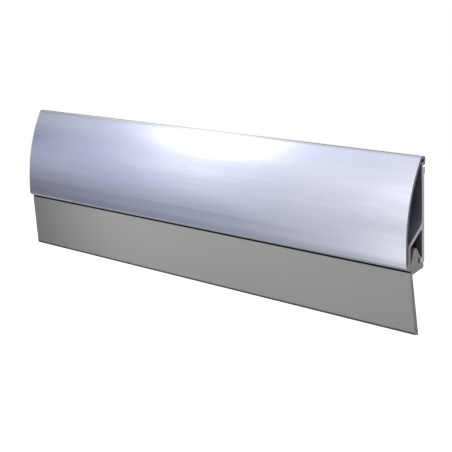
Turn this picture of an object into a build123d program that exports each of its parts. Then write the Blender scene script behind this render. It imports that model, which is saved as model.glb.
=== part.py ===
from build123d import *
import math
import os

os.makedirs("parts", exist_ok=True)

# Door bottom seal with a flexible lip and concealed fixings, cut square from three extrusions:
# a carrier that is screwed to the door, a bowed cover that clips over it, and a lip seal.
# X runs along the seal, +Y points into the door and +Z points up. The origin is midway between
# the fixing holes, on the back face of the carrier's plate.
# Every section is drawn with Y across, and heights measured up from the cover's lower edge.

# Overall sizes, in millimetres
length = 330.0
cover_height = 45.0
cover_front = 9.1  # from the plate's back face out to the front of the cover
clip_gap = 0.05  # clearance between the cover and the carrier where they clip
seal_gap = 0.05  # clearance of the lip seal in its channel
lip_gap = 0.1  # clearance between the end of the cover's lower lip and the lip seal

# Cover
cover_wall = 0.8
nose_radius = 1.5  # lower front corner
turn_rise = 3.0  # height over which the front turns gently in towards that corner
turn_angle = 7.0
lip_reach = 2.25  # how far the lower lip turns in behind the front of the cover
bead_height = 0.25  # snap bead on the inner end of the lower lip
bead_width = 0.2
face_straight = 9.0  # height at which the flat lower front turns into the bowed crown
top_radius = 1.6  # front roll over the top
top_flat = 0.15
crest = 0.35  # extra thickness under the top
back_radius = 0.7  # back corner of the top
hook_depth = 3.6  # how far the hook comes down behind the bulb
hook_bevel = 0.55  # bevel that leads the hook in between the door and the bulb
toe_reach = 0.15  # toe of the hook, below the bulb
toe_height = 0.4

# Carrier
plate = 1.2
pad_height = 0.4  # pad on the back that bears on the door, level with the cover's hook
pad_width = 2.5
pad_gap = 0.7  # space between the pad and the tip of the hook
pad_round = 0.15
neck = 0.55  # thickness of the plate between the pad and the bulb
neck_round = 0.35  # fillet between the neck and the pad
bulb_radius = 0.45
bulb_drop = 2.85  # centre of the bulb below the top of the cover
web = 1.1
web_high = 17.5  # where the middle of the web meets the front face of the plate
web_low = 9.55  # where it meets the middle of the channel's front wall
web_fillet_above = 5.0
web_fillet_below = 0.4
wall = 1.0  # front wall of the seal channel
wall_standoff = 0.4  # space between the cover and that wall
shoulder_round = 0.5
foot_high = 2.9  # foot of the front wall, which the cover's lower lip clips around
nib_reach = 2.2  # from the plate's back face to the end of the nib
nib_low = 3.0
nib_high = 5.0
nib_bevel = 0.5
nib_round = 0.2

# Fixing holes
hole_diameter = 4.5
hole_height = 28.0
hole_pitch = 220.0
hole_count = 2

# Lip seal
blade_drop = 25.8  # how far the blade hangs below the cover
blade_root = 1.1
blade_tip = 1.75
blade_sweep = 2.4  # how far the blade leans back towards the door at its tip
blade_setback = 1.95  # front of the blade behind the front of the cover
blade_round = 0.25
groove_height = 0.65  # groove above the root of the blade, which clears the cover's lip
flange_setback = 0.45  # back end of the flange in front of the plate's back face
flange_back = 1.0  # height of the flange's underside at its back end
flange_fall = 25.3  # fall of the underside towards the blade, in degrees
flange_round = 0.35
root_round = 0.6
stem_gap = 0.75  # space between the stem and the nib
head_foot = 0.3  # space between the foot of the head and the channel's front wall
head_height = 8.3  # height of the head's two shoulders
head_back = 3.5  # back shoulder of the head, from the plate's back face
head_width = 1.7
head_point = 0.8  # height of the point above the shoulders
head_round = 0.5
barb_reach = 0.3  # how far the barb laps over the nib
barb_edge = 0.15

# Places that the pieces share
section = Plane(origin=(-length / 2, 0, -hole_height), x_dir=(0, 1, 0), z_dir=(1, 0, 0))
turn_radius = turn_rise / math.sin(math.radians(turn_angle))
turn_run = turn_radius * (1 - math.cos(math.radians(turn_angle)))
nose_middle = -cover_front + turn_run + nose_radius * math.cos(math.radians(turn_angle))
cover_inside = -cover_front + cover_wall
lip_end = -cover_front + lip_reach
bead_top = cover_wall + bead_height
wall_outside = cover_inside + wall_standoff
wall_inside = wall_outside + wall
hook_inside = pad_height - cover_wall
hook_tip = cover_height - hook_depth
pad_top = hook_tip - pad_gap
pad_low = pad_top - pad_width
bulb_across = hook_inside - clip_gap - bulb_radius
bulb_height = cover_height - bulb_drop


def near(sketch, *points):
    """The sketch's corners that lie nearest the given points."""
    return [sketch.vertices().sort_by_distance(point)[0] for point in points]


# Cover. Its outer skin runs from the lower lip, round the nose and up the flat lower front, over
# the bowed crown and the top, and down the hook behind it. Each arc is tangent to the next line.
crown_run = cover_front + pad_height - back_radius - top_flat
crown_rise = cover_height - top_radius - face_straight
crown_radius = (crown_run**2 + crown_rise**2 - top_radius**2) / (2 * (crown_run - top_radius))
crown_angle = math.degrees(math.asin(crown_rise / (crown_radius - top_radius)))
crest_run = top_flat + back_radius - cover_wall + top_radius - cover_wall / 2

with BuildPart() as cover:
    with BuildSketch(section) as cover_section:
        with BuildLine():
            under = Line((lip_end, 0), (nose_middle, 0))
            nose = JernArc(under @ 1, under % 1, nose_radius, turn_angle - 90)
            turn = JernArc(nose @ 1, nose % 1, turn_radius, -turn_angle)
            front = Line(turn @ 1, (-cover_front, face_straight))
            crown = JernArc(front @ 1, front % 1, crown_radius, -crown_angle)
            roll = JernArc(crown @ 1, crown % 1, top_radius, crown_angle - 90)
            top = Line(roll @ 1, (pad_height - back_radius, cover_height))
            back = JernArc(top @ 1, top % 1, back_radius, -90)
            Line(back @ 1, (pad_height, hook_tip))
            offset(amount=cover_wall, side=Side.RIGHT, kind=Kind.INTERSECTION, closed=True)
        make_face()
        # Crest that thickens the top, let into the middle of the roll's wall
        with Locations((hook_inside, cover_height - cover_wall)):
            Rectangle(crest_run, crest, align=(Align.MAX, Align.MAX))
        chamfer(near(cover_section, (pad_height, hook_tip)), length=hook_bevel)
        # Toe that turns in under the bulb
        with BuildLine():
            Polyline(
                (hook_inside, hook_tip),
                (hook_inside - toe_reach, hook_tip + toe_reach),
                (hook_inside - toe_reach, hook_tip + toe_height - toe_reach),
                (hook_inside, hook_tip + toe_height),
                close=True,
            )
        make_face()
        # Snap bead on the end of the lower lip
        with BuildLine():
            Polyline(
                (lip_end, cover_wall),
                (lip_end, bead_top),
                (lip_end - bead_width, bead_top),
                (lip_end - bead_width - bead_height, cover_wall),
                close=True,
            )
        make_face()
    extrude(amount=length)

cover.part.label = "cover"
export_step(cover.part, "parts/cover.step")


# Carrier. The web slants down and forward from the plate to the front wall of the channel.
web_slope = (web_high - web_low) / (-plate - (wall_outside + wall_inside) / 2)
web_half = web / 2 * math.sqrt(1 + web_slope**2)


def web_middle(across):
    """Height of the middle of the web at a place across the section."""
    return web_high + web_slope * (across + plate)


wall_top = web_middle(wall_outside) + web_half
foot_round = nose_radius - cover_wall - clip_gap
foot_outside = nose_middle - foot_round
foot_bottom = cover_wall + clip_gap
foot_flare = wall_outside - foot_outside
notch_front = lip_end - bead_width - bead_height - clip_gap
notch_top = bead_top + clip_gap

with BuildPart() as carrier:
    with BuildSketch(section) as carrier_section:
        # Plate, thinned at its top into a neck below the bulb
        with Locations((0, nib_low)):
            Rectangle(plate, pad_top - nib_low, align=(Align.MAX, Align.MIN))
        with Locations((-plate, pad_low)):
            Rectangle(neck, bulb_height - pad_low, align=(Align.MIN, Align.MIN))
        with Locations((bulb_across, bulb_height)):
            Circle(bulb_radius)
        with Locations((0, pad_low)):
            Rectangle(pad_height, pad_width, align=(Align.MIN, Align.MIN))
        # Nib at the plate's lower end
        with Locations((0, nib_low)):
            Rectangle(nib_reach, nib_high - nib_low, align=(Align.MAX, Align.MIN))
        # Web
        with BuildLine():
            Polyline(
                (wall_outside, web_middle(wall_outside) + web_half),
                (-plate / 2, web_middle(-plate / 2) + web_half),
                (-plate / 2, web_middle(-plate / 2) - web_half),
                (wall_outside, web_middle(wall_outside) - web_half),
                close=True,
            )
        make_face()
        # Front wall of the channel, with a foot that flares out against the cover
        with Locations((wall_outside, foot_bottom)):
            Rectangle(wall, wall_top - foot_bottom, align=(Align.MIN, Align.MIN))
        with BuildLine():
            Polyline(
                (wall_outside, foot_high),
                (foot_outside, foot_high - foot_flare),
                (foot_outside, foot_bottom),
                (wall_outside, foot_bottom),
                close=True,
            )
        make_face()
        fillet(near(carrier_section, (foot_outside, foot_bottom)), foot_round)
        with Locations((notch_front, foot_bottom)):
            Rectangle(
                wall_inside - notch_front,
                notch_top - foot_bottom,
                align=(Align.MIN, Align.MIN),
                mode=Mode.SUBTRACT,
            )
        # Rounded and bevelled corners
        fillet(near(carrier_section, (-plate, web_middle(-plate) + web_half)), web_fillet_above)
        fillet(near(carrier_section, (-plate, web_middle(-plate) - web_half)), web_fillet_below)
        fillet(near(carrier_section, (wall_outside, wall_top)), shoulder_round)
        fillet(near(carrier_section, (neck - plate, pad_top)), neck_round)
        fillet(near(carrier_section, (-nib_reach, nib_low), (-nib_reach, nib_high)), nib_round)
        chamfer(near(carrier_section, (0, nib_low)), nib_bevel)
        pad_corners = [(pad_height, pad_low), (pad_height, pad_top)]
        fillet(near(carrier_section, *pad_corners), pad_round)
    extrude(amount=length)
    # Fixing holes, drilled from the front of the plate
    with Locations(Plane.XZ.offset(plate)):
        with GridLocations(hole_pitch, 1, hole_count, 1):
            Hole(hole_diameter / 2, depth=plate)

carrier.part.label = "carrier"
export_step(carrier.part, "parts/carrier.step")


# Lip seal. Its head pushes up into the channel and the barb laps over the nib. The flange
# closes the channel's mouth, and the blade hangs from the front of the flange.
flange_front = wall_inside + seal_gap
flange_top = nib_low - seal_gap
blade_front = -cover_front + blade_setback
groove_back = lip_end + lip_gap
groove_top = notch_top
groove_low = -groove_height
underside_fall = (-flange_setback - groove_back) * math.tan(math.radians(flange_fall))
blade_tip_front = blade_front + blade_sweep
stem_back = -nib_reach - stem_gap
head_front_foot = wall_inside + head_foot
barb_low = nib_high + seal_gap
barb_tip = -nib_reach + barb_reach

with BuildPart() as lip_seal:
    with BuildSketch(section) as seal_section:
        # Flange
        with BuildLine():
            Polyline(
                (flange_front, flange_top),
                (-flange_setback, flange_top),
                (-flange_setback, flange_back),
                (groove_back, flange_back - underside_fall),
                (groove_back, groove_top),
                (flange_front, groove_top),
                close=True,
            )
        make_face()
        # Blade
        with BuildLine():
            Polyline(
                (blade_front, groove_low),
                (blade_tip_front, -blade_drop),
                (blade_tip_front + blade_tip, -blade_drop),
                (blade_front + blade_root, groove_low),
                close=True,
            )
        make_face()
        # Stem and arrow head
        with BuildLine():
            Polyline(
                (head_front_foot, flange_top),
                (-head_back - head_width, head_height),
                (-head_back - head_width / 2, head_height + head_point),
                (-head_back, head_height),
                (barb_tip, barb_low + barb_edge),
                (barb_tip, barb_low),
                (stem_back, barb_low),
                (stem_back, groove_top),
                (head_front_foot, groove_top),
                close=True,
            )
        make_face()
        # Rounded corners
        shoulders = [(-head_back - head_width, head_height), (-head_back, head_height)]
        fillet(near(seal_section, *shoulders), head_round)
        fillet(near(seal_section, (-head_back - head_width / 2, head_height + head_point)), head_round)
        flange_corners = [(-flange_setback, flange_top), (-flange_setback, flange_back)]
        fillet(near(seal_section, *flange_corners), flange_round)
        blade_corners = [(blade_tip_front, -blade_drop), (blade_tip_front + blade_tip, -blade_drop)]
        fillet(near(seal_section, *blade_corners), blade_round)
        root = (blade_front + blade_root, flange_back - underside_fall)
        fillet(near(seal_section, root), root_round)
    extrude(amount=length)

lip_seal.part.label = "lip_seal"
export_step(lip_seal.part, "parts/lip_seal.step")
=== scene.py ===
import math

import bpy
from mathutils import Matrix, Vector


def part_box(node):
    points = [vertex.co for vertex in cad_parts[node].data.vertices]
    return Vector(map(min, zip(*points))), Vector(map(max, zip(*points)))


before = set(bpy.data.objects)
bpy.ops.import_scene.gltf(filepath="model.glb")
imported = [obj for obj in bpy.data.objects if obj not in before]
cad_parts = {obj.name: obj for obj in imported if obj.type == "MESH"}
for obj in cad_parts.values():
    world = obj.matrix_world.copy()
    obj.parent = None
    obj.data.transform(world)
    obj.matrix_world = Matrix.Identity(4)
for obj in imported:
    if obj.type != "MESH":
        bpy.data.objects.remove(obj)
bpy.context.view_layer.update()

# The camera stands to the right of the seal and looks along it, a little downwards
EYE = Vector((0.7685, -0.4686, 0.0920))
HEADING = math.radians(58.03)
PITCH = math.radians(7.61)
ROLL = math.radians(-0.78)
SENSOR_WIDTH = 36.0
LENS = 155.4
CLIP_START = 0.01

# The studio. A tent of glowing walls, painted with soft patches of light, stands around the seal, seen in
# reflections alone, and a black flag shades the seal's left end. A pair holds the low and high end of a
# range.
FLOOR_HEIGHT = -0.60
FLOOR_RADIUS = 6.0
TENT_WIDTH = (-1.1, 1.1)
TENT_DEPTH = (-0.30, 1.2)
TENT_RISE = (-0.25, 0.8)
FLAG_WIDTH = (-0.235, -0.1545)
FLAG_PLACE = -0.2
FLAG_RISE = (-0.02, 0.15)
WARM_WHITE = (1.0, 0.985, 0.965)

# Places on the CAD pieces. Y grows towards the door and Z upwards. A pair holds the two places
# between which a finish changes.
SEAL_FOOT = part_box("lip_seal")[0][2]
COVER_FOOT = -0.028
COVER_BACK = -0.0002  # only the back of the cover's hook lies behind this
COVER_LIP = (-0.0260, -0.0268)  # the cover's cut end is lighter below, at its lower lip
PLATE_FRONT = -0.0011  # just behind the front face of the carrier's plate
CHANNEL_WALL = (-0.0074, -0.0058)  # from inside the channel's front wall to a little behind it; the sawn end in front is painted darker as painted shade
WEB_SLOPE = 1.282  # rise of the slanting web towards the door
WEB_TOP = -0.0085  # height, just inside the web's upper face, where it would reach the door
DULL_FOOT = (-0.0175, -0.0125)  # lower end of a duller band above the web
DULL_TOP = (-0.004, -0.010)  # its upper end
CHANNEL_MOUTH = (-0.0254, -0.0250)  # the seal is painted darker above, in the channel, as painted shade
GROOVE_FOOT = (-0.0290, -0.0287)  # the seal is painted nearly black above, at its groove, as painted shadow
GROOVE_BACK = -0.0063  # a little behind that groove
BLADE_ROOT = (-0.029, -0.032)  # the seal's cut end is darker below, on the blade
BLADE_EDGE = (SEAL_FOOT + 0.0011, SEAL_FOOT + 0.00077)  # painted shade along the blade's lower edge


def new_tree(owner):
    """An empty node tree on a material or world."""
    owner.use_nodes = True
    owner.node_tree.nodes.clear()
    return owner.node_tree


def new_material(name):
    """A new material, and its empty node tree."""
    material = bpy.data.materials.new(name)
    return material, new_tree(material)


def set_input(tree, socket, value):
    """A socket takes a link from another node's output, or a plain value."""
    if isinstance(value, bpy.types.NodeSocket):
        tree.links.new(value, socket)
    else:
        socket.default_value = value


def node(tree, kind, inputs=None, **settings):
    """A new node with its settings and inputs, which are given by name or number."""
    made = tree.nodes.new(kind)
    for name, value in settings.items():
        setattr(made, name, value)
    for name, value in (inputs or {}).items():
        set_input(tree, made.inputs[name], value)
    return made


def maths(tree, operation, *values):
    """The result of a maths node."""
    return node(tree, "ShaderNodeMath", dict(enumerate(values)), operation=operation).outputs[0]


def product(tree, first, *others):
    """Values multiplied together."""
    for other in others:
        first = maths(tree, "MULTIPLY", first, other)
    return first


def vectors(tree, operation, first, second):
    """The result of a maths node for vectors or colours."""
    return node(tree, "ShaderNodeVectorMath", {0: first, 1: second}, operation=operation).outputs[0]


def rescale(tree, value, start, end, low=0.0, high=1.0, **settings):
    """A value that goes from low to high while the given one goes from start to end."""
    made = node(tree, "ShaderNodeMapRange", {
        "Value": value, "From Min": start, "From Max": end, "To Min": low, "To Max": high}, **settings)
    return made.outputs["Result"]


def step(tree, value, start, end):
    """0 up to start and 1 from end on, with a smooth change between them."""
    return rescale(tree, value, start, end, interpolation_type="SMOOTHSTEP")


def mix_colour(tree, factor, first, second):
    """A colour between two. The node's sockets share names, so they are given by number."""
    made = node(tree, "ShaderNodeMix", data_type="RGBA")
    set_input(tree, made.inputs[0], factor)
    set_input(tree, made.inputs[6], first)
    set_input(tree, made.inputs[7], second)
    return made.outputs[2]


def grey(value):
    """A neutral colour."""
    return (value, value, value, 1.0)


def ramp(tree, factor, *stops):
    """A colour ramp with the given (place, colour) stops. A plain number stands for a grey."""
    made = node(tree, "ShaderNodeValToRGB", {"Fac": factor})
    elements = made.color_ramp.elements
    while len(elements) < len(stops):
        elements.new(1.0)
    for element, (place, colour) in zip(elements, stops):
        element.position = place
        element.color = colour if isinstance(colour, tuple) else grey(colour)
    return made.outputs["Color"]


def span_ramp(tree, value, span, *stops):
    """A ramp whose stops are given as places within a span."""
    low, high = span
    part = rescale(tree, value, low, high)
    return ramp(tree, part, *[((place - low) / (high - low), colour) for place, colour in stops])


def object_point(tree):
    """The point on the object."""
    return node(tree, "ShaderNodeTexCoord").outputs["Object"]


def split(tree, vector):
    """The three parts of a vector."""
    return node(tree, "ShaderNodeSeparateXYZ", {0: vector}).outputs


def places(tree):
    """The point on the object, and the three parts of the point and of its normal."""
    point = object_point(tree)
    normal = node(tree, "ShaderNodeNewGeometry").outputs["Normal"]
    return point, split(tree, point), split(tree, normal)


def cut_end(tree, facing):
    """1 on the two cut ends and 0 along the extrusion."""
    return step(tree, maths(tree, "ABSOLUTE", facing[0]), 0.7, 0.9)


def noise(tree, point, scales, detail):
    """Noise with its own scale in each direction, per metre."""
    stretched = vectors(tree, "MULTIPLY", point, scales)
    made = node(tree, "ShaderNodeTexNoise", {"Vector": stretched, "Scale": 1.0, "Detail": detail})
    return made.outputs["Fac"]


def streaks(tree, point, along, across, detail=3.0):
    """Noise drawn out along the extrusion."""
    return noise(tree, point, (along, across, across), detail)


def saw_marks(tree, point):
    """Fine parallel lines across a cut end."""
    return noise(tree, point, (0.0, 300.0, 5200.0), 2.0)


def bump(tree, height, strength, distance):
    """The normal of a surface with fine relief."""
    made = node(tree, "ShaderNodeBump", {"Height": height, "Strength": strength, "Distance": distance})
    return made.outputs[0]


def join_shader(tree, shader, output_kind="ShaderNodeOutputMaterial"):
    """Joins a shader to the output of its material or world."""
    output = node(tree, output_kind)
    tree.links.new(shader.outputs[0], output.inputs["Surface"])


def anodised_cover():
    """Satin anodised aluminium outside, with a raw cut end, a lighter painted inside that stands in for
    light in the hollow, and painted shade under the lower lip.
    """
    material, tree = new_material("satin_anodised")
    point, apart, facing = places(tree)
    end = cut_end(tree, facing)
    inside = product(tree, step(tree, facing[1], 0.1, 0.3), maths(tree, "LESS_THAN", apart[1], COVER_BACK))
    # Painted shade: faces turned downwards, at the cover's lower lip, are painted nearly black
    painted_shade_underside = step(tree, facing[2], -0.45, -0.9)
    lines = streaks(tree, point, 2.0, 2600.0)
    bands = streaks(tree, point, 12.0, 420.0)
    clouds = streaks(tree, point, 14.0, 60.0, detail=2.0)
    skin = ramp(tree, clouds, (0.3, (0.78, 0.79, 0.87, 1)), (0.7, (0.88, 0.89, 0.92, 1)))
    skin = mix_colour(tree, product(tree, step(tree, bands, 0.35, 0.65), 0.10), skin, (0.52, 0.54, 0.68, 1))
    # Painted light: the inside gets a lighter, bluer colour that brightens the dark hollow
    skin = mix_colour(tree, inside, skin, (0.86, 0.89, 0.97, 1))
    skin = mix_colour(tree, product(tree, painted_shade_underside, 0.7), skin, (0.12, 0.12, 0.13, 1))
    sawn = mix_colour(tree, step(tree, apart[2], *COVER_LIP), (0.27, 0.275, 0.30, 1), (0.47, 0.46, 0.47, 1))
    skin = mix_colour(tree, end, skin, sawn)
    rough = maths(tree, "ADD", rescale(tree, bands, 0.0, 1.0, 0.13, 0.19), product(tree, end, 0.2))
    height = maths(tree, "ADD", lines, product(tree, end, saw_marks(tree, point)))
    join_shader(tree, node(tree, "ShaderNodeBsdfPrincipled", {
        "Base Color": skin, "Metallic": 1.0, "Roughness": rough,
        "Normal": bump(tree, height, 0.12, 0.00003)}))
    return material


def extruded_carrier():
    """Plain extruded aluminium with a sawn end. The sawn end is painted darker at the seal's channel as
    painted shade, and the faces in front of the plate are painted lighter as painted light.
    """
    material, tree = new_material("extruded_aluminium")
    point, apart, facing = places(tree)
    end = cut_end(tree, facing)
    enclosed = maths(tree, "LESS_THAN", apart[1], PLATE_FRONT)
    lines = streaks(tree, point, 3.0, 1800.0)
    skin = ramp(tree, lines, (0.3, 0.58), (0.7, 0.66))
    # Painted light: all faces in front of the plate's front face get a lighter, bluer colour that brightens
    # the dark hollow
    skin = mix_colour(tree, enclosed, skin, (0.88, 0.91, 0.98, 1))
    sawn = ramp(tree, saw_marks(tree, point), (0.3, 0.62), (0.7, 0.74))
    # Painted shade: the sawn end is painted darker at the channel's front wall
    sawn = mix_colour(tree, step(tree, apart[1], *CHANNEL_WALL), (0.46, 0.445, 0.46, 1), sawn)
    skin = mix_colour(tree, end, skin, sawn)
    over_web = maths(tree, "SUBTRACT", apart[2], product(tree, apart[1], WEB_SLOPE))
    over_web = maths(tree, "GREATER_THAN", over_web, WEB_TOP)
    dull = product(tree, step(tree, apart[2], *DULL_FOOT), step(tree, apart[2], *DULL_TOP),
                   over_web, enclosed)
    rough = maths(tree, "ADD", product(tree, end, 0.12), 0.4)
    rough = maths(tree, "ADD", product(tree, dull, 0.09), rough)
    join_shader(tree, node(tree, "ShaderNodeBsdfPrincipled", {
        "Base Color": skin, "Metallic": 1.0, "Roughness": rough,
        "Normal": bump(tree, lines, 0.2, 0.00004)}))
    return material


def grey_elastomer():
    """Matt grey elastomer with the faint lines of its die and a mottled cut end. It is painted lighter
    towards its top as painted light, and painted darker in its groove, in the channel and at its lower edge
    as painted shade."""
    material, tree = new_material("grey_elastomer")
    point, apart, facing = places(tree)
    end = cut_end(tree, facing)
    along = maths(tree, "SUBTRACT", 1.0, end)
    lines = streaks(tree, point, 3.0, 900.0)
    clouds = streaks(tree, point, 14.0, 40.0, detail=2.0)
    # Painted light: the blade is painted lighter upwards, towards the cover, against the shade the cover
    # casts
    painted_light_upwards = rescale(tree, apart[2], SEAL_FOOT, COVER_FOOT)
    mottle_and_painted_light = maths(tree, "ADD", product(tree, clouds, 0.5), product(tree, painted_light_upwards, 0.6))
    skin = ramp(tree, mottle_and_painted_light, (0.15, (0.281, 0.275, 0.272, 1)), (0.95, (0.330, 0.322, 0.319, 1)))
    # Painted shadow: the groove under the cover's lip is painted nearly black
    painted_groove_shadow = product(tree, step(tree, apart[2], *GROOVE_FOOT),
                        maths(tree, "LESS_THAN", apart[1], GROOVE_BACK), along)
    skin = mix_colour(tree, painted_groove_shadow, skin, grey(0.004))
    # Painted shade: the seal is painted darker inside the channel
    painted_channel_shade = product(tree, step(tree, apart[2], *CHANNEL_MOUTH), along)
    skin = mix_colour(tree, painted_channel_shade, skin, (0.16, 0.137, 0.132, 1))
    # Painted shade: the blade's lower edge is painted dark
    painted_shade_edge = product(tree, step(tree, apart[2], *BLADE_EDGE), along)
    skin = mix_colour(tree, painted_shade_edge, skin, grey(0.066))
    grains = node(tree, "ShaderNodeTexNoise", {"Vector": point, "Scale": 700.0}).outputs["Fac"]
    mottled = ramp(tree, grains, (0.35, (0.30, 0.293, 0.288, 1)), (0.65, (0.39, 0.347, 0.337, 1)))
    blade_end = product(tree, step(tree, apart[2], *BLADE_ROOT), 0.45)
    mottled = mix_colour(tree, blade_end, mottled, (0.215, 0.205, 0.20, 1))
    skin = mix_colour(tree, end, skin, mottled)
    rough = maths(tree, "ADD", product(tree, painted_groove_shadow, 0.45), 0.55)
    join_shader(tree, node(tree, "ShaderNodeBsdfPrincipled", {
        "Base Color": skin, "Roughness": rough, "Specular IOR Level": 0.3,
        "Normal": bump(tree, lines, 0.15, 0.00005)}))
    return material


def plain_floor():
    """A white floor far below the seal, which takes its shadow and shows as white."""
    material, tree = new_material("white_floor")
    matt = node(tree, "ShaderNodeBsdfDiffuse", {"Color": grey(0.85)})
    white = node(tree, "ShaderNodeEmission", {"Color": grey(1.0), "Strength": 0.8})
    seen = node(tree, "ShaderNodeLightPath").outputs
    shown = maths(tree, "MAXIMUM", seen["Is Camera Ray"], seen["Is Glossy Ray"])
    lit = node(tree, "ShaderNodeAddShader", {0: matt.outputs[0], 1: white.outputs[0]})
    join_shader(tree, node(tree, "ShaderNodeMixShader", {0: shown, 1: matt.outputs[0], 2: lit.outputs[0]}))
    bpy.ops.mesh.primitive_circle_add(vertices=96, radius=FLOOR_RADIUS, fill_type="NGON",
                                      location=(0, 0, FLOOR_HEIGHT))
    floor = bpy.context.object
    floor.name = "floor"
    floor.data.materials.append(material)


def sky():
    """White where the camera or a gloss shows it, and a softer light on the object."""
    world = bpy.data.worlds.new("studio")
    bpy.context.scene.world = world
    tree = new_tree(world)
    seen = node(tree, "ShaderNodeLightPath").outputs
    shown = maths(tree, "MAXIMUM", seen["Is Camera Ray"], seen["Is Glossy Ray"])
    shown = maths(tree, "MAXIMUM", shown, seen["Is Transmission Ray"])
    light = node(tree, "ShaderNodeBackground", {"Color": (0.95, 0.97, 1.0, 1), "Strength": 0.5})
    white = node(tree, "ShaderNodeBackground", {"Color": grey(1.0), "Strength": 1.0})
    mixed = node(tree, "ShaderNodeMixShader", {0: shown, 1: light.outputs[0], 2: white.outputs[0]})
    join_shader(tree, mixed, "ShaderNodeOutputWorld")


def glow(tree, across, upwards, centre, radii, lean, start):
    """A soft-edged ellipse on a wall, 1 inside start of its radii and 0 outside them."""
    upwards = maths(tree, "SUBTRACT", upwards, centre[1])
    across = maths(tree, "ADD", maths(tree, "SUBTRACT", across, centre[0]), product(tree, upwards, lean))
    across = maths(tree, "DIVIDE", across, radii[0])
    upwards = maths(tree, "DIVIDE", upwards, radii[1])
    distance = maths(tree, "SQRT", maths(tree, "ADD", product(tree, across, across),
                                         product(tree, upwards, upwards)))
    return maths(tree, "SUBTRACT", 1.0, step(tree, distance, start, 1.0))


def add_wall(name, material, corners, hidden_from):
    """A flat wall that the given kinds of ray pass by."""
    mesh = bpy.data.meshes.new(name)
    mesh.from_pydata(corners, [], [(0, 1, 2, 3)])
    mesh.materials.append(material)
    wall = bpy.data.objects.new(name, mesh)
    bpy.context.scene.collection.objects.link(wall)
    for kind in hidden_from:
        setattr(wall, "visible_" + kind, False)


def add_tent_side(name, material, axis, end):
    """The side of the tent at the low (0) or high (1) end of an axis. Only a gloss shows it."""
    spans = [TENT_WIDTH, TENT_DEPTH, TENT_RISE]
    corners = []
    for across, upwards in ((0, 0), (1, 0), (1, 1), (0, 1)):
        ends = [across, upwards]
        ends.insert(axis, end)
        corners.append([span[which] for span, which in zip(spans, ends)])
    add_wall(name, material, corners, ("camera", "diffuse", "transmission", "volume_scatter", "shadow"))


def front_wall():
    """The glowing wall in front, painted with light. It shades from blue grey at its left and foot to white
    at its right, with one bright painted window high up to the left."""
    material, tree = new_material("glowing_front_wall")
    apart = split(tree, object_point(tree))
    left, right = TENT_WIDTH

    def along(*stops):
        return span_ramp(tree, apart[0], TENT_WIDTH, *stops)

    upper = along((left, 0.20), (-0.87, 0.42), (-0.80, 0.555), (-0.74, 0.61), (-0.68, 0.64),
                  (-0.55, 0.74), (-0.30, 0.82), (-0.20, 1.0), (right, 0.60))
    lower = along((left, 0.08), (-0.76, 0.115), (-0.69, 0.21), (-0.62, 0.275), (-0.48, 0.355),
                  (-0.40, 0.38), (-0.31, 0.50), (-0.21, (1.06, 1.06, 1.0, 1)), (right, 0.60))
    foot = along((left, 0.14), (-0.76, 0.20), (-0.40, 0.36), (-0.31, 0.44),
                 (-0.21, (0.80, 0.80, 0.76, 1)), (right, 0.55))
    tint = along((-0.85, (0.725, 0.75, 0.83, 1)), (-0.72, (0.72, 0.75, 0.97, 1)),
                 (-0.5, (0.715, 0.75, 0.95, 1)), (-0.2, (0.735, 0.75, 0.79, 1)),
                 (right, (0.735, 0.75, 0.79, 1)))
    rise = span_ramp(tree, apart[2], TENT_RISE, (-0.12, 0.0), (-0.085, 0.12), (-0.03, 0.50),
                     (0.07, 0.78), (0.20, 1.0))
    lower = mix_colour(tree, step(tree, apart[2], -0.105, -0.145), lower, foot)
    shade = vectors(tree, "MULTIPLY", mix_colour(tree, rise, lower, upper), tint)
    # Each patch has its strength, and the centre, radii, lean and start of its glow
    patches = [
        (0.95, (-0.583, 0.25), (0.12, 0.16), 0.7, 0.5),  # the window
        (0.85, (-0.80, 0.43), (0.155, 0.17), 1.2, 0.3),  # its upper part
        (-0.25, (-0.48, 0.265), (0.08, 0.06), 0.0, 0.0),  # its upper right corner, cut short
        (0.08, (-0.87, 0.31), (0.10, 0.09), 0.0, 0.0),  # faint light at the upper left
        (0.34, (-0.505, 0.10), (0.15, 0.18), 0.4, 0.0),  # the window's halo
        (0.09, (-0.46, -0.04), (0.14, 0.05), 0.0, 0.0),  # faint cloud below it
        (-0.27, (-0.83, 0.10), (0.13, 0.10), 0.0, 0.0),  # dark cloud at the left
        (-0.035, (-0.335, 0.04), (0.11, 0.08), 0.0, 0.0),  # faint one at the right
        (0.18, (-0.21, 0.09), (0.09, 0.06), 0.0, 0.0),  # bright one at the right
        (-0.18, (-0.21, -0.03), (0.13, 0.06), 0.0, 0.0),  # dark one below it
    ]
    for strength, *shape in patches:
        patch = glow(tree, apart[0], apart[2], *shape)
        shade = vectors(tree, "ADD", shade, product(tree, patch, strength))
    join_shader(tree, node(tree, "ShaderNodeEmission", {"Color": shade, "Strength": 1.333}))
    add_tent_side("front_wall", material, 1, 0)


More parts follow.
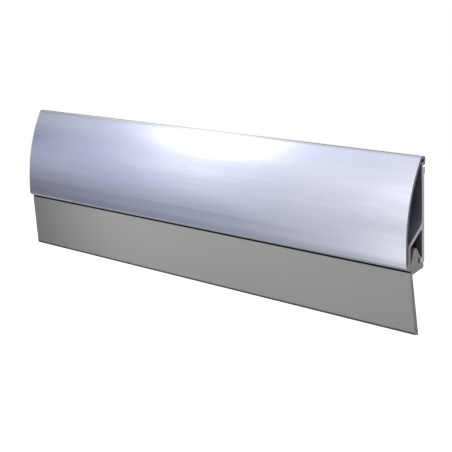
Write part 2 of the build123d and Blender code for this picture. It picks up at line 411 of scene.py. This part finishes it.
def other_walls():
    """The table, roof, sides and back of the tent, glowing in greys. The left wall is dark towards the back
    and has a bright band high up, and the cover's top edge shows both."""
    material, tree = new_material("glowing_tent_wall")
    apart = split(tree, object_point(tree))
    shade = span_ramp(tree, apart[2], TENT_RISE,
                      (TENT_RISE[0], (0.35, 0.36, 0.39, 1)), (0.20, (0.21, 0.215, 0.23, 1)),
                      (0.40, (0.21, 0.215, 0.23, 1)), (0.46, (0.33, 0.34, 0.36, 1)),
                      (0.50, (0.45, 0.46, 0.48, 1)), (0.545, (0.67, 0.68, 0.70, 1)),
                      (0.60, (0.98, 0.99, 1.0, 1)), (0.66, 1.5), (0.73, 1.5),
                      (0.77, (0.80, 0.81, 0.84, 1)), (TENT_RISE[1], (0.68, 0.69, 0.71, 1)))
    shade = mix_colour(tree, step(tree, apart[1], 0.32, 0.44), shade, (0.15, 0.15, 0.165, 1))
    shade = mix_colour(tree, step(tree, apart[1], 0.52, 0.72), shade, (0.34, 0.34, 0.36, 1))
    patch = glow(tree, apart[1], apart[2], (0.62, 0.30), (0.12, 0.45), 0.5, 0.3)
    shade = vectors(tree, "ADD", shade, product(tree, patch, 0.65))
    at_right = maths(tree, "GREATER_THAN", apart[0], 0.5)
    shade = mix_colour(tree, at_right, shade, (0.50, 0.505, 0.52, 1))
    at_back = maths(tree, "GREATER_THAN", apart[1], 1.1)
    shade = mix_colour(tree, at_back, shade, (0.85, 0.86, 0.88, 1))
    join_shader(tree, node(tree, "ShaderNodeEmission", {"Color": shade, "Strength": 1.0}))
    for name, axis, end in [("table", 2, 0), ("roof", 2, 1), ("back_wall", 1, 1), ("left_wall", 0, 0),
                            ("right_wall", 0, 1)]:
        add_tent_side(name, material, axis, end)


def barn_door():
    """A small black flag that shades the left end from the key light."""
    material, tree = new_material("black_flag")
    join_shader(tree, node(tree, "ShaderNodeBsdfDiffuse", {"Color": grey(0.02)}))
    left, right = FLAG_WIDTH
    low, high = FLAG_RISE
    corners = [(left, FLAG_PLACE, low), (right, FLAG_PLACE, low), (right, FLAG_PLACE, high),
               (left, FLAG_PLACE, high)]
    add_wall("barn_door", material, corners, ("camera", "glossy", "transmission"))


def lamp(name, place, target, size, power, colour=(1, 1, 1), spread=180):
    """A rectangular soft box at place, facing target. Neither the camera nor a gloss shows it."""
    light = bpy.data.lights.new(name, "AREA")
    light.shape = "RECTANGLE"
    light.size, light.size_y = size
    light.energy = power
    light.color = colour
    light.spread = math.radians(spread)
    thing = bpy.data.objects.new(name, light)
    bpy.context.scene.collection.objects.link(thing)
    towards = Vector(target) - Vector(place)
    thing.matrix_world = Matrix.Translation(place) @ towards.to_track_quat("-Z", "Y").to_matrix().to_4x4()
    thing.visible_camera = False
    thing.visible_glossy = False


def lights():
    """Soft boxes in front, at the right-hand end and behind."""
    lamp("key_box", (-0.22, -0.7, 0.28), (-0.07, 0.0, -0.03), (0.25, 0.25), 1.0, WARM_WHITE, 90)
    lamp("side_box", (0.95, -0.45, 0.4), (0.1, 0.0, 0.0), (0.4, 0.4), 1.2, WARM_WHITE)
    lamp("back_box", (-0.3, 1.0, 0.7), (0.0, 0.0, -0.02), (0.9, 0.7), 4.0)


def camera():
    """The photograph's view."""
    data = bpy.data.cameras.new("camera")
    data.sensor_width = SENSOR_WIDTH
    data.lens = LENS
    data.clip_start = CLIP_START
    thing = bpy.data.objects.new("camera", data)
    turn = (Matrix.Rotation(HEADING, 4, "Z") @ Matrix.Rotation(math.pi / 2 - PITCH, 4, "X")
            @ Matrix.Rotation(ROLL, 4, "Z"))
    thing.matrix_world = Matrix.Translation(EYE) @ turn
    bpy.context.scene.collection.objects.link(thing)
    bpy.context.scene.camera = thing


def dress(name, material):
    """Gives a CAD piece its finish."""
    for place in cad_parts[name].material_slots:
        place.material = material


bpy.context.scene.view_settings.view_transform = "Standard"
camera()
sky()
plain_floor()
front_wall()
other_walls()
barn_door()
lights()
dress("cover", anodised_cover())
dress("carrier", extruded_carrier())
dress("lip_seal", grey_elastomer())
